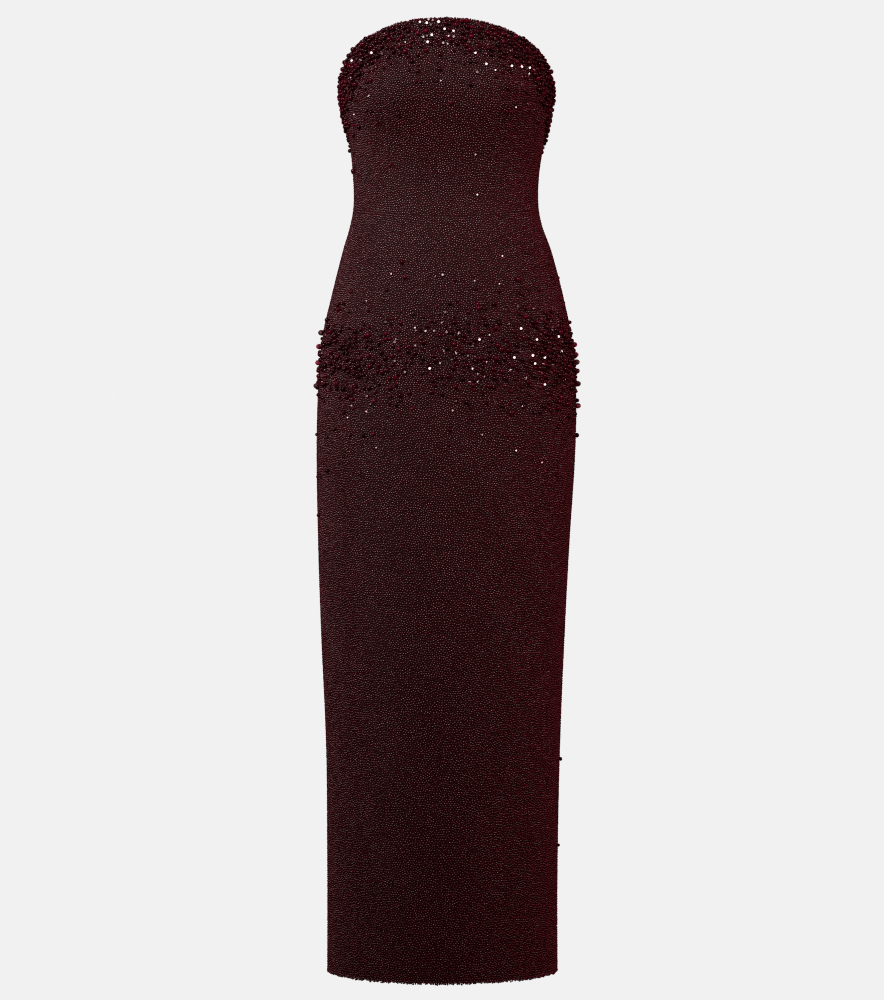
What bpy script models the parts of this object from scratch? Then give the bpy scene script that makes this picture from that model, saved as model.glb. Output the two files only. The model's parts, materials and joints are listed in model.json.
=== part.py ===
"""A strapless column gown, beaded all over, standing open in the form it has when worn.

Metres, +Z up. The front faces -Y and +X is on the right of somebody who looks at it. The origin
is where the wearer holds the gown up: the middle of the body at the height of the bust.

Every panel is a wall whose outer face is a piece of one surface. A point of that surface is
given by its turn, in degrees round from centre front towards +X, and its height above the hem.
A level section is an ellipse where its square is 2, and squarer or more pointed off that.
The wall counts the layer of small beads as part of its thickness. Large beads are raised from
its outer face in two bands, along the neckline and round the hips.
"""

import bisect
import math
import random
from collections import namedtuple

import bmesh
import bpy
from mathutils import Matrix, Vector

# Heights above the hem, and the neckline's slope to one side
HOLD_HEIGHT = 1.128
NECK_FRONT = 1.217
NECK_TILT = 0.0018
WAIST_SIDE = 0.985
WAIST_DIP = 0.016
HIP_BAND_LOW = 0.742
HIP_BAND_HIGH = 0.834
NECK_BAND_WIDE = 0.036
VENT_TOP = 0.430
ZIP_LOW = 0.787

# Cloth
WALL = 0.0025
SEAM = 0.0003
WAIST_SEAM = 0.0004
VENT_HALF_OPEN = 0.006

# Seam lines, in degrees round from centre front
PRINCESS_AT_WAIST = 38.0
PRINCESS_AT_TOP = 33.0
SIDE = 90.0
BACK = 180.0
BACK_COLUMNS = 10

# Fullness of the cups, out from the plain section
CUP_FULL = 0.009
CUP_TURN = 30.0
CUP_WIDE = 17.0
CUP_HEIGHT = 1.126
CUP_TALL = 0.048

# Large beads
BEAD_SHARE = 0.56
BEAD_INSET = (0.0013, 0.0026)
BEAD_HIGH = (0.0018, 0.0034)
BEAD_WANDER = 0.0024
ZIP_CLEAR = 0.020

# Zip
TAPE_HALF_WIDE = 0.011
TAPE_THICK = 0.0010
NOTCH_HALF_WIDE = 0.0042
NOTCH_DEEP = 0.0090
SLIDER_WIDE = 0.0070
SLIDER_FOOT_WIDE = 0.0050
SLIDER_TALL = 0.0096
SLIDER_BELOW_NECK = 0.0058
SLIDER_PROUD = 0.0010
PIN_OUT = 0.0030
PIN_UP = 0.0015
LUG_THICK = 0.0011
LUG_ROUND = 0.0016
BARREL_LONG = 0.0020
BARREL_ROUND = 0.0012
PULL_LONG = 0.0250
PULL_WIDE = 0.0056
PULL_THICK = 0.0012
PULL_NECK_LONG = 0.0040

Section = namedtuple("Section", "height half_width shift front back square")
SECTIONS = (
    Section(0.000, 0.1500, -0.0047, 0.1060, 0.1040, 1.92),
    Section(0.128, 0.1500, -0.0047, 0.1050, 0.1040, 1.95),
    Section(0.288, 0.1523, -0.0038, 0.1040, 0.1040, 2.00),
    Section(0.441, 0.1588, -0.0040, 0.1040, 0.1090, 2.05),
    Section(0.558, 0.1638, -0.0028, 0.1050, 0.1140, 2.10),
    Section(0.675, 0.1684, 0.0000, 0.1070, 0.1210, 2.15),
    Section(0.758, 0.1677, 0.0014, 0.1070, 0.1230, 2.18),
    Section(0.823, 0.1618, 0.0012, 0.1060, 0.1170, 2.18),
    Section(0.877, 0.1502, 0.0018, 0.1035, 0.1070, 2.15),
    Section(0.932, 0.1360, 0.0014, 0.0975, 0.0940, 2.12),
    Section(0.968, 0.1245, 0.0002, 0.0915, 0.0850, 2.10),
    Section(0.995, 0.1203, 0.0000, 0.0890, 0.0820, 2.10),
    Section(1.033, 0.1215, 0.0000, 0.0920, 0.0840, 2.10),
    Section(1.073, 0.1267, 0.0010, 0.1020, 0.0930, 2.12),
    Section(1.108, 0.1342, 0.0008, 0.1120, 0.1000, 2.15),
    Section(1.138, 0.1380, 0.0008, 0.1160, 0.1035, 2.15),
    Section(1.217, 0.1335, 0.0000, 0.1080, 0.1000, 2.15),
)

NeckPoint = namedtuple("NeckPoint", "turn drop")
NECKLINE = (
    NeckPoint(0.0, 0.0000),
    NeckPoint(16.0, 0.0022),
    NeckPoint(30.0, 0.0085),
    NeckPoint(41.0, 0.0165),
    NeckPoint(50.0, 0.0230),
    NeckPoint(58.0, 0.0305),
    NeckPoint(66.0, 0.0400),
    NeckPoint(74.0, 0.0510),
    NeckPoint(82.0, 0.0620),
    NeckPoint(90.0, 0.0715),
    NeckPoint(100.0, 0.0790),
    NeckPoint(115.0, 0.0825),
    NeckPoint(180.0, 0.0830),
)

Zone = namedtuple("Zone", "lower upper rows inner_rows beaded")
Panel = namedtuple("Panel", "name left right columns zones")


def along(rows, key, column, at):
    """One column of a table, read along a smooth curve through its rows."""
    keys = [getattr(row, key) for row in rows]
    values = [getattr(row, column) for row in rows]
    last = len(rows) - 1
    first = min(max(bisect.bisect_right(keys, at) - 1, 0), last - 1)
    step = keys[first + 1] - keys[first]
    t = min(max((at - keys[first]) / step, 0.0), 1.0)

    def slope(row):
        before, after = max(row - 1, 0), min(row + 1, last)
        return (values[after] - values[before]) / (keys[after] - keys[before])

    return (
        values[first] * (1 + 2 * t) * (1 - t) ** 2
        + values[first + 1] * t * t * (3 - 2 * t)
        + step * slope(first) * t * (1 - t) ** 2
        - step * slope(first + 1) * t * t * (1 - t)
    )


def surface(turn, height):
    """A point of the gown's outer face."""
    half_width, shift, front, back, square = (
        along(SECTIONS, "height", column, height)
        for column in ("half_width", "shift", "front", "back", "square")
    )
    sine, cosine = math.sin(math.radians(turn)), math.cos(math.radians(turn))
    round_off = (abs(sine) ** square + abs(cosine) ** square) ** (-1 / square)
    cup = CUP_FULL * math.exp(
        -(((abs(turn) - CUP_TURN) / CUP_WIDE) ** 2) - ((height - CUP_HEIGHT) / CUP_TALL) ** 2
    )
    depth = front if cosine > 0 else back
    return Vector(
        (
            shift + (half_width + cup) * round_off * sine,
            -(depth + cup) * round_off * cosine,
            height - HOLD_HEIGHT,
        )
    )


def slopes(turn, height):
    """How far a point of the surface moves for one degree of turn, and for one metre of height."""
    round_it = (surface(turn + 0.25, height) - surface(turn - 0.25, height)) / 0.5
    up = (surface(turn, height + 0.001) - surface(turn, height - 0.001)) / 0.002
    return round_it, up


def outward(turn, height):
    round_it, up = slopes(turn, height)
    return round_it.cross(up).normalized()


def inside(turn, height, depth=WALL):
    """A point this deep under the outer face."""
    return surface(turn, height) - outward(turn, height) * depth


def degrees_of(distance, turn, height):
    """The turn that covers a distance along the surface."""
    return distance / slopes(turn, height)[0].length


def neckline(turn):
    """The top edge, which sits a little lower on the right."""
    tilt = NECK_TILT * math.sin(math.radians(turn))
    return NECK_FRONT - along(NECKLINE, "turn", "drop", abs(turn)) - tilt


def neck_band(turn):
    """The lower edge of the band of large beads along the neckline."""
    return neckline(turn) - NECK_BAND_WIDE


def waistline(turn):
    return WAIST_SIDE - WAIST_DIP * max(math.cos(math.radians(turn)), 0.0) ** 2


def bodice_foot(turn):
    return waistline(turn) + WAIST_SEAM / 2


def skirt_top(turn):
    return waistline(turn) - WAIST_SEAM / 2


def level(height):
    return lambda turn: height


def line(turn):
    return lambda height: turn


def princess(side):
    """The seam from the waist up over a cup; side is +1 or -1."""

    def turn(height):
        share = (height - WAIST_SIDE) / (NECK_FRONT - WAIST_SIDE)
        return side * (PRINCESS_AT_WAIST + (PRINCESS_AT_TOP - PRINCESS_AT_WAIST) * share)

    return turn


def vent(height):
    """How far each edge of the walking vent stands from centre back."""
    return VENT_HALF_OPEN * max(1 - height / VENT_TOP, 0.0)


def notch(height):
    """How far each back edge parts at the top, round the zip's slider."""
    below = neckline(BACK) - height
    return NOTCH_HALF_WIDE * min(max(2 - below / NOTCH_DEEP, 0.0), 1.0)


def edge(seam_line, towards, parted=lambda height: 0.0):
    """A panel's side edge, half a seam's gap from its seam line; towards is +1 or -1."""

    def turn(height):
        at = seam_line(height)
        return at + towards * degrees_of(SEAM / 2 + parted(height), at, height)

    return turn


SKIRT_ZONES = (
    Zone(level(0.0), level(HIP_BAND_LOW), 7, 7, False),
    Zone(level(HIP_BAND_LOW), level(HIP_BAND_HIGH), 8, 2, True),
    Zone(level(HIP_BAND_HIGH), skirt_top, 5, 5, False),
)
BODICE_ZONES = (
    Zone(bodice_foot, neck_band, 6, 6, False),
    Zone(neck_band, neckline, 4, 4, True),
)

PANELS = (
    Panel("bodice_front", edge(princess(-1), 1), edge(princess(1), -1), 8, BODICE_ZONES),
    Panel("bodice_side_front_r", edge(princess(1), 1), edge(line(SIDE), -1), 6, BODICE_ZONES),
    Panel("bodice_side_front_l", edge(line(-SIDE), 1), edge(princess(-1), -1), 6, BODICE_ZONES),
    Panel("bodice_back_r", edge(line(SIDE), 1), edge(line(BACK), -1, notch), BACK_COLUMNS, BODICE_ZONES),
    Panel("bodice_back_l", edge(line(-BACK), 1, notch), edge(line(-SIDE), -1), BACK_COLUMNS, BODICE_ZONES),
    Panel("skirt_front", edge(line(-SIDE), 1), edge(line(SIDE), -1), 20, SKIRT_ZONES),
    Panel("skirt_back_r", edge(line(SIDE), 1), edge(line(BACK), -1, vent), BACK_COLUMNS, SKIRT_ZONES),
    Panel("skirt_back_l", edge(line(-BACK), 1, vent), edge(line(-SIDE), -1), BACK_COLUMNS, SKIRT_ZONES),
)


def place(panel, zone, across, up):
    """The turn and height at a share across a panel and a share up one of its zones."""
    turn = panel.left(WAIST_SIDE) * (1 - across) + panel.right(WAIST_SIDE) * across
    for _ in range(3):
        height = zone.lower(turn) * (1 - up) + zone.upper(turn) * up
        turn = panel.left(height) * (1 - across) + panel.right(height) * across
    return turn, height


def ladder(bm, low, high, steps):
    """Faces between two chains of points, in even steps along both."""
    faces = []
    for step in range(steps):
        ends = []
        for chain in (low, high):
            stride = (len(chain) - 1) // steps
            ends.append(chain[step * stride : (step + 1) * stride + 1])
        faces.append(bm.faces.new(ends[0] + ends[1][::-1]))
    return faces


def outer_rings(bm, panel, dice):
    """The rings of points of the outer face, for each zone from its lower to its upper edge."""
    zones = []
    ring = None
    for number, zone in enumerate(panel.zones):
        rings = [ring] if ring else []
        for row in range(len(rings), zone.rows + 1):
            meets = panel.zones[min(number + 1, len(panel.zones) - 1)]
            fine = zone.beaded or (row == zone.rows and meets.beaded)
            columns = panel.columns * (2 if fine else 1)
            ring = []
            for column in range(columns + 1):
                turn, height = place(panel, zone, column / columns, row / zone.rows)
                if zone.beaded and 0 < column < columns and 0 < row < zone.rows:
                    turn += degrees_of(dice.uniform(-BEAD_WANDER, BEAD_WANDER), turn, height)
                    height += dice.uniform(-BEAD_WANDER, BEAD_WANDER)
                ring.append(bm.verts.new(surface(turn, height)))
            rings.append(ring)
        zones.append(rings)
    return zones


def inner_rings(bm, panel):
    """The rings of points of the plain inner face, for each zone from its lower to its upper edge."""
    zones = []
    ring = None
    for zone in panel.zones:
        rings = [ring] if ring else []
        for row in range(len(rings), zone.inner_rows + 1):
            ring = []
            for column in range(panel.columns + 1):
                turn, height = place(panel, zone, column / panel.columns, row / zone.inner_rows)
                ring.append(bm.verts.new(inside(turn, height)))
            rings.append(ring)
        zones.append(rings)
    return zones


def raise_beads(bm, faces, dice):
    """Lifts some of the cells of a band into large faceted beads."""
    for face in faces:
        middle = face.calc_center_median()
        by_zip = middle.y > 0 and abs(middle.x) < ZIP_CLEAR and middle.z > -NECK_BAND_WIDE
        if dice.random() > BEAD_SHARE or by_zip:
            continue
        bmesh.ops.inset_individual(bm, faces=[face], thickness=dice.uniform(*BEAD_INSET))
        face.normal_update()
        bmesh.ops.poke(bm, faces=[face], offset=dice.uniform(*BEAD_HIGH))


def material(name, colour, roughness, metallic=0.0):
    made = bpy.data.materials.new(name)
    made.use_nodes = True
    shader = made.node_tree.nodes["Principled BSDF"]
    shader.inputs["Base Color"].default_value = (*colour, 1.0)
    shader.inputs["Roughness"].default_value = roughness
    shader.inputs["Metallic"].default_value = metallic
    made.diffuse_color = (*colour, 1.0)
    return made


def finish(bm, name, surface_material):
    """Closes a mesh's making: faces out, an object of this name, shaded smooth between its facets."""
    bmesh.ops.recalc_face_normals(bm, faces=bm.faces)
    mesh = bpy.data.meshes.new(name)
    bm.to_mesh(mesh)
    bm.free()
    mesh.materials.append(surface_material)
    mesh.shade_smooth()
    mesh.set_sharp_from_angle(angle=math.radians(25))
    made = bpy.data.objects.new(name, mesh)
    bpy.context.scene.collection.objects.link(made)
    return made


def make_panel(panel, seed, surface_material):
    """A closed wall: outer face with its beads, plain inner face, and the four edges between."""
    dice = random.Random(seed)
    bm = bmesh.new()
    outer = outer_rings(bm, panel, dice)
    inner = inner_rings(bm, panel)
    beaded_faces = []
    for zone, rings in zip(panel.zones, outer):
        columns = panel.columns * (2 if zone.beaded else 1)
        for low, high in zip(rings, rings[1:]):
            faces = ladder(bm, low, high, columns)
            if zone.beaded:
                beaded_faces += faces
    for rings in inner:
        for low, high in zip(rings, rings[1:]):
            ladder(bm, high, low, panel.columns)
    ladder(bm, inner[0][0], outer[0][0], panel.columns)
    ladder(bm, outer[-1][-1], inner[-1][-1], panel.columns)
    for zone, outside, within in zip(panel.zones, outer, inner):
        for end in (0, -1):
            chains = [[ring[end] for ring in rings] for rings in (outside, within)]
            ladder(bm, chains[end], chains[end + 1], zone.inner_rows)
    raise_beads(bm, beaded_faces, dice)
    return finish(bm, panel.name, surface_material)


def tape_heights():
    """The heights of the back panels' inner rows that the zip's tape lies on, from its foot up."""
    heights = []
    for zone in SKIRT_ZONES + BODICE_ZONES:
        low, high = zone.lower(BACK), zone.upper(BACK)
        for row in range(zone.inner_rows + 1):
            height = low + (high - low) * row / zone.inner_rows
            if height > ZIP_LOW and (not heights or height > heights[-1]):
                heights.append(height)
    return heights


def make_tape(surface_material):
    """The zip's two tapes, closed: a strip laid on the back panels' inner points, moved in."""
    bm = bmesh.new()
    rings = {}
    for depth in (SEAM, SEAM + TAPE_THICK):
        rings[depth] = []
        for height in tape_heights():
            middle = inside(BACK, height)
            inward = -outward(BACK, height)
            reaches = []
            for side in (1, -1):
                beside = inside(BACK - side * (BACK - SIDE) / BACK_COLUMNS, height)
                reaches.append((beside - middle).normalized() * TAPE_HALF_WIDE)
            across = (reaches[0], Vector(), reaches[1])
            rings[depth].append([bm.verts.new(middle + reach + inward * depth) for reach in across])
    near, far = rings[SEAM], rings[SEAM + TAPE_THICK]
    columns = len(near[0]) - 1
    for low in range(len(near) - 1):
        ladder(bm, near[low], near[low + 1], columns)
        ladder(bm, far[low + 1], far[low], columns)
    ladder(bm, far[0], near[0], columns)
    ladder(bm, near[-1], far[-1], columns)
    for end in (0, -1):
        chains = [[ring[end] for ring in side] for side in (near, far)]
        ladder(bm, chains[end], chains[end + 1], len(near) - 1)
    return finish(bm, "zip_tape", surface_material)


def extruded(outline, thickness, frame):
    """A bmesh prism of a flat outline, its thickness centred on the frame's third axis."""
    bm = bmesh.new()
    face = bm.faces.new([bm.verts.new((u, v, -thickness / 2)) for u, v in outline])
    grown = bmesh.ops.extrude_face_region(bm, geom=[face])["geom"]
    moved = [piece for piece in grown if isinstance(piece, bmesh.types.BMVert)]
    bmesh.ops.translate(bm, verts=moved, vec=(0, 0, thickness))
    bmesh.ops.transform(bm, matrix=frame, verts=bm.verts)
    return bm


def joined(base, others):
    """Unites helper objects with a base by Booleans, and leaves the helpers out of the render."""
    for other in others:
        other.hide_render = True
        other.display_type = "WIRE"
        union = base.modifiers.new("join " + other.name, "BOOLEAN")
        union.operation = "UNION"
        union.object = other
    return base


def arc(radius, start, end, steps, centre=(0.0, 0.0)):
    """Points of an arc, from one angle in degrees to another."""
    points = []
    for step in range(steps + 1):
        angle = math.radians(start + (end - start) * step / steps)
        points.append((centre[0] + radius * math.cos(angle), centre[1] + radius * math.sin(angle)))
    return points


def slider_place():
    """The zip slider's frame on centre back: local Y points out of the cloth and Z along it."""
    height = neckline(BACK) - SLIDER_BELOW_NECK
    out = outward(BACK, height)
    tilt = Matrix.Rotation(math.atan2(out.z, out.y), 4, "X")
    return Matrix.Translation(surface(BACK, height)) @ tilt


def make_slider(surface_material):
    """A tapered body in the notch at the top of centre back, with two lugs for the pull."""
    frame = slider_place()
    half_tall = SLIDER_TALL / 2
    body_outline = [
        (-SLIDER_FOOT_WIDE / 2, -half_tall),
        (SLIDER_FOOT_WIDE / 2, -half_tall),
        (SLIDER_WIDE / 2, -half_tall * 0.1),
        (SLIDER_WIDE / 2, half_tall * 0.7),
        (SLIDER_WIDE / 2 * 0.7, half_tall),
        (-SLIDER_WIDE / 2 * 0.7, half_tall),
        (-SLIDER_WIDE / 2, half_tall * 0.7),
        (-SLIDER_WIDE / 2, -half_tall * 0.1),
    ]
    thick = WALL + SLIDER_PROUD
    upright = Matrix.Rotation(math.pi / 2, 4, "X")
    stand = Matrix.Translation((0, SLIDER_PROUD - thick / 2, 0)) @ upright
    slider = finish(extruded(body_outline, thick, frame @ stand), "zip_slider", surface_material)
    lug_outline = arc(LUG_ROUND, -90, 90, 8, (PIN_OUT, PIN_UP))
    lug_outline += [(-WALL / 2, PIN_UP + LUG_ROUND), (-WALL / 2, PIN_UP - LUG_ROUND)]
    lugs = []
    for side in (-1, 1):
        middle = side * (BARREL_LONG / 2 + SEAM + LUG_THICK / 2)
        sideways = Matrix.Translation((middle, 0, 0)) @ Matrix(
            ((0, 0, 1, 0), (1, 0, 0, 0), (0, 1, 0, 0), (0, 0, 0, 1))
        )
        lug = extruded(lug_outline, LUG_THICK, frame @ sideways)
        lugs.append(finish(lug, f"lug_{'l' if side < 0 else 'r'}", surface_material))
    return joined(slider, lugs)


def make_pull(surface_material):
    """The pull tab, hanging from its barrel between the lugs; its origin is on the pin's axis."""
    half_neck, half_wide = BARREL_LONG / 2, PULL_WIDE / 2
    foot = arc(half_wide, 180, 360, 12, (0.0, half_wide - PULL_LONG))
    outline = foot + [
        (half_wide * 0.8, -PULL_NECK_LONG - half_wide),
        (half_neck, -PULL_NECK_LONG),
        (half_neck, 0.0),
        (-half_neck, 0.0),
        (-half_neck, -PULL_NECK_LONG),
        (-half_wide * 0.8, -PULL_NECK_LONG - half_wide),
    ]
    upright = Matrix.Rotation(math.pi / 2, 4, "X")
    pull = finish(extruded(outline, PULL_THICK, upright), "zip_pull", surface_material)
    barrel = extruded(
        arc(BARREL_ROUND, 0, 330, 11), BARREL_LONG, Matrix.Rotation(math.pi / 2, 4, "Y")
    )
    roller = finish(barrel, "barrel", surface_material)
    pin = slider_place() @ Vector((0, PIN_OUT, PIN_UP))
    pull.location = pin
    roller.location = pin
    return joined(pull, [roller])


def main():
    for found in list(bpy.data.objects):
        bpy.data.objects.remove(found, do_unlink=True)
    for seed, panel in enumerate(PANELS):
        beaded = material(f"beaded cloth {panel.name}", (0.030, 0.008, 0.010), 0.42)
        make_panel(panel, seed, beaded)
    make_tape(material("zip tape", (0.018, 0.006, 0.008), 0.8))
    metal = material("zip metal", (0.045, 0.012, 0.016), 0.35, 1.0)
    make_slider(metal)
    make_pull(metal)


main()
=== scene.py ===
"""The looks of the beaded strapless gown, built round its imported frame.

Metres, +Z up, the front faces -Y, and the origin is in the middle of the body at the height of the
bust. All that is added is placed on the gown's own surface, whose sizes repeat the model source's.
"""

import json
import math
from collections import namedtuple

import bpy
import numpy as np
from mathutils.kdtree import KDTree
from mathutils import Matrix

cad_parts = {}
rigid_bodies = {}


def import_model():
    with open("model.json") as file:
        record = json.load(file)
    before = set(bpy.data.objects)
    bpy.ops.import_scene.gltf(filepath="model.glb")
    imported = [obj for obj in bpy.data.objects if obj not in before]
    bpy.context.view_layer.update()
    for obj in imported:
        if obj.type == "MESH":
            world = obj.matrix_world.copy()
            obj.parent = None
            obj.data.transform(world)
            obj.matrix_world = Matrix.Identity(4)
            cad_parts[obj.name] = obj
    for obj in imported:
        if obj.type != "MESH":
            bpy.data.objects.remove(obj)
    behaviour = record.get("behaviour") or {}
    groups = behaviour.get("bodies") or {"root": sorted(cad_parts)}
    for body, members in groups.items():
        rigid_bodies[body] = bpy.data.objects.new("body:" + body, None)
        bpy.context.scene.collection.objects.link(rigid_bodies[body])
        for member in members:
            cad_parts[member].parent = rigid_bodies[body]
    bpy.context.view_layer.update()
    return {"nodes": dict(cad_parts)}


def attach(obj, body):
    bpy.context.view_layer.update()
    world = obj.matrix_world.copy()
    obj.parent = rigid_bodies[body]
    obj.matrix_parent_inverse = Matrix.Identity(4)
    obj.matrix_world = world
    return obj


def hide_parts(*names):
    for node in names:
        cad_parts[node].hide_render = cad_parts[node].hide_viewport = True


scene = bpy.context.scene
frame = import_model()
dice = np.random.default_rng(7)

# Heights above the hem, as in the source
HOLD_HEIGHT = 1.128
NECK_FRONT = 1.217
NECK_TILT = 0.0018
WAIST_SIDE = 0.985
WAIST_DIP = 0.016
VENT_TOP = 0.430
ZIP_LOW = 0.787

# Cloth, as in the source
WALL = 0.0025
SEAM = 0.0003
VENT_HALF_OPEN = 0.006
NOTCH_HALF_WIDE = 0.0042
NOTCH_DEEP = 0.0090
PRINCESS_AT_WAIST = 38.0
PRINCESS_AT_TOP = 33.0
NO_SEAM = 1000.0
SIDE = 90.0
BACK = 180.0
CUP_FULL = 0.009
CUP_TURN = 30.0
CUP_WIDE = 17.0
CUP_HEIGHT = 1.126
CUP_TALL = 0.048
TAPE_HALF_WIDE = 0.011
TAPE_THICK = 0.0010


def table(fields, *rows, last=None):
    """Rows whose values are read by their fields' names, and the last value of those without one."""
    made = namedtuple("Row", fields, defaults=(last,))
    return tuple(made(*row) for row in rows)


SECTIONS = table(
    "height half_width shift front back square",
    (0.000, 0.1500, -0.0047, 0.1060, 0.1040, 1.92),
    (0.128, 0.1500, -0.0047, 0.1050, 0.1040, 1.95),
    (0.288, 0.1523, -0.0038, 0.1040, 0.1040, 2.00),
    (0.441, 0.1588, -0.0040, 0.1040, 0.1090, 2.05),
    (0.558, 0.1638, -0.0028, 0.1050, 0.1140, 2.10),
    (0.675, 0.1684, 0.0000, 0.1070, 0.1210, 2.15),
    (0.758, 0.1677, 0.0014, 0.1070, 0.1230, 2.18),
    (0.823, 0.1618, 0.0012, 0.1060, 0.1170, 2.18),
    (0.877, 0.1502, 0.0018, 0.1035, 0.1070, 2.15),
    (0.932, 0.1360, 0.0014, 0.0975, 0.0940, 2.12),
    (0.968, 0.1245, 0.0002, 0.0915, 0.0850, 2.10),
    (0.995, 0.1203, 0.0000, 0.0890, 0.0820, 2.10),
    (1.033, 0.1215, 0.0000, 0.0920, 0.0840, 2.10),
    (1.073, 0.1267, 0.0010, 0.1020, 0.0930, 2.12),
    (1.108, 0.1342, 0.0008, 0.1120, 0.1000, 2.15),
    (1.138, 0.1380, 0.0008, 0.1160, 0.1035, 2.15),
    (1.217, 0.1335, 0.0000, 0.1080, 0.1000, 2.15),
)

NECKLINE = table(
    "turn drop",
    (0.0, 0.0000), (16.0, 0.0022), (30.0, 0.0085), (41.0, 0.0165),
    (50.0, 0.0230), (58.0, 0.0305), (66.0, 0.0400), (74.0, 0.0510),
    (82.0, 0.0620), (90.0, 0.0715), (100.0, 0.0790), (115.0, 0.0825),
    (180.0, 0.0830),
)

# Seed beads: how far apart, how big, and how much each one strays
SEED_ROW = 0.00300
SEED_PITCH = 0.00345
SEED_SHAKE = 0.00170
ROW_TURNS = 721
ROW_WAVES = ((0.0022, 7, 40.0), (0.0012, 17, -60.0))
ROW_WAVE_FROM = 0.030
SEED_APART = 0.00340
SEED_SPREADS = 7
SEED_NEIGHBOURS = 6
SEED_PUSH = 0.4
SEED_ROUND = 0.00156
SEED_ROUND_SPREAD = 0.00012
SEED_ROUND_LIMITS = (0.00125, 0.0019)
SEED_TALL = 0.00150
SEED_TALL_SHARES = (0.82, 1.04)
SEED_TILT = 0.13
SEED_FLAT = (0.58, 0.86)
SEED_TONE_BETA = (2.0, 2.2)
SEED_PATCHES = 0.077
SEAM_CLEAR = 0.00150
EDGE_CLEAR = 0.00160
CLOTH_DEPTH = 0.00145

# Large beads
GEM_TRIES = 120000
GEM_LOWEST = 0.60
GEM_FACT_BETA = (1.3, 1.5)
GEM_COVERS = 0.8

# How far they keep from each other, the edges and the seams, as shares of their radius
GEM_APART = 0.96
GEM_EDGE_CLEAR = 0.5
GEM_SEAM_CLEAR = 0.6

# How far they keep from the zip and its slider
TAPE_CLEAR = 0.0045
SLIDER_CLEAR = 0.020
SLIDER_CLEAR_DEEP = 0.045

# Their band and scatter under the neckline, and how both change at the sides
NECK_SHARE = 0.62
NECK_SHARE_MORE = 0.33
NECK_BAND_DEEP = 0.036
NECK_BAND_DEEP_SIDE = 0.056
NECK_FALL = 2.8
NECK_FALL_MORE = 1.7
NECK_SCATTER_SHARE = 0.016
NECK_SCATTER_DEEP = 0.115
NECK_SCATTER_LESS = 0.03

# Camera, as for the photograph, and the main light
CAMERA_AT = (-0.0052, -3.45, -0.5183)
CAMERA_FOCAL_PIXELS = 2654.0
PICTURE_WIDE = 884.0
PICTURE_HIGH = 1000.0
KEY_AT = (-0.8, -2.5, 0.95)
KEY_SPREAD = 48.0


def along(rows, key, column, at):
    """One column of a table, read along a smooth curve through its rows."""
    keys = np.array([getattr(row, key) for row in rows])
    values = np.array([getattr(row, column) for row in rows])
    slope = np.empty(len(rows))
    slope[1:-1] = (values[2:] - values[:-2]) / (keys[2:] - keys[:-2])
    slope[0] = (values[1] - values[0]) / (keys[1] - keys[0])
    slope[-1] = (values[-1] - values[-2]) / (keys[-1] - keys[-2])
    first = np.clip(np.searchsorted(keys, at, side="right") - 1, 0, len(rows) - 2)
    step = keys[first + 1] - keys[first]
    t = np.clip((at - keys[first]) / step, 0.0, 1.0)
    return (
        values[first] * (1 + 2 * t) * (1 - t) ** 2
        + values[first + 1] * t * t * (3 - 2 * t)
        + step * slope[first] * t * (1 - t) ** 2
        - step * slope[first + 1] * t * t * (1 - t)
    )


def wrapped(turn):
    """The same turn, from -180 to 180 degrees."""
    return (turn + 180) % 360 - 180


def surface(turn, height):
    """Points of the gown's outer face, for arrays of turns in degrees and heights above the hem."""
    turn, height = np.broadcast_arrays(turn, height)
    half_width, shift, front, back, square = (
        along(SECTIONS, "height", column, height)
        for column in ("half_width", "shift", "front", "back", "square")
    )
    sine, cosine = np.sin(np.radians(turn)), np.cos(np.radians(turn))
    round_off = (np.abs(sine) ** square + np.abs(cosine) ** square) ** (-1 / square)
    around = np.abs(wrapped(turn))
    cup = CUP_FULL * np.exp(
        -(((around - CUP_TURN) / CUP_WIDE) ** 2) - ((height - CUP_HEIGHT) / CUP_TALL) ** 2
    )
    depth = np.where(cosine > 0, front, back)
    across = shift + (half_width + cup) * round_off * sine
    back_of = -(depth + cup) * round_off * cosine
    return np.stack((across, back_of, height - HOLD_HEIGHT), axis=-1)


def unit(vectors):
    return vectors / np.linalg.norm(vectors, axis=-1, keepdims=True)


def slopes(turn, height):
    """How far points of the surface move for one degree of turn, and for one metre of height."""
    round_it = (surface(turn + 0.25, height) - surface(turn - 0.25, height)) / 0.5
    up = (surface(turn, height + 0.001) - surface(turn, height - 0.001)) / 0.002
    return round_it, up


def axes(turn, height):
    """Unit vectors at points of the surface: round it, up it and out of it."""
    round_it, up = slopes(turn, height)
    out = unit(np.cross(round_it, up))
    round_it = unit(round_it)
    return round_it, np.cross(out, round_it), out


def under(turn, height, depth):
    """Points this deep under the outer face."""
    return surface(turn, height) - axes(turn, height)[2] * depth


def per_degree(turn, height):
    """Metres along the surface for one degree of turn."""
    return np.linalg.norm(slopes(turn, height)[0], axis=-1)


def reach_along(turn, height):
    """How far each of a row of places is from the first, along the surface."""
    step = np.linalg.norm(np.diff(surface(turn, height), axis=0), axis=1)
    return np.concatenate(([0.0], np.cumsum(step)))


def neckline(turn):
    """The top edge, which sits a little lower on the right."""
    return NECK_FRONT - along(NECKLINE, "turn", "drop", np.abs(turn)) - NECK_TILT * np.sin(np.radians(turn))


def waistline(turn):
    return WAIST_SIDE - WAIST_DIP * np.maximum(np.cos(np.radians(turn)), 0.0) ** 2


def princess(height):
    """The turn of the seam from the waist up over a cup."""
    share = (height - WAIST_SIDE) / (NECK_FRONT - WAIST_SIDE)
    return PRINCESS_AT_WAIST + (PRINCESS_AT_TOP - PRINCESS_AT_WAIST) * share


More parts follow.
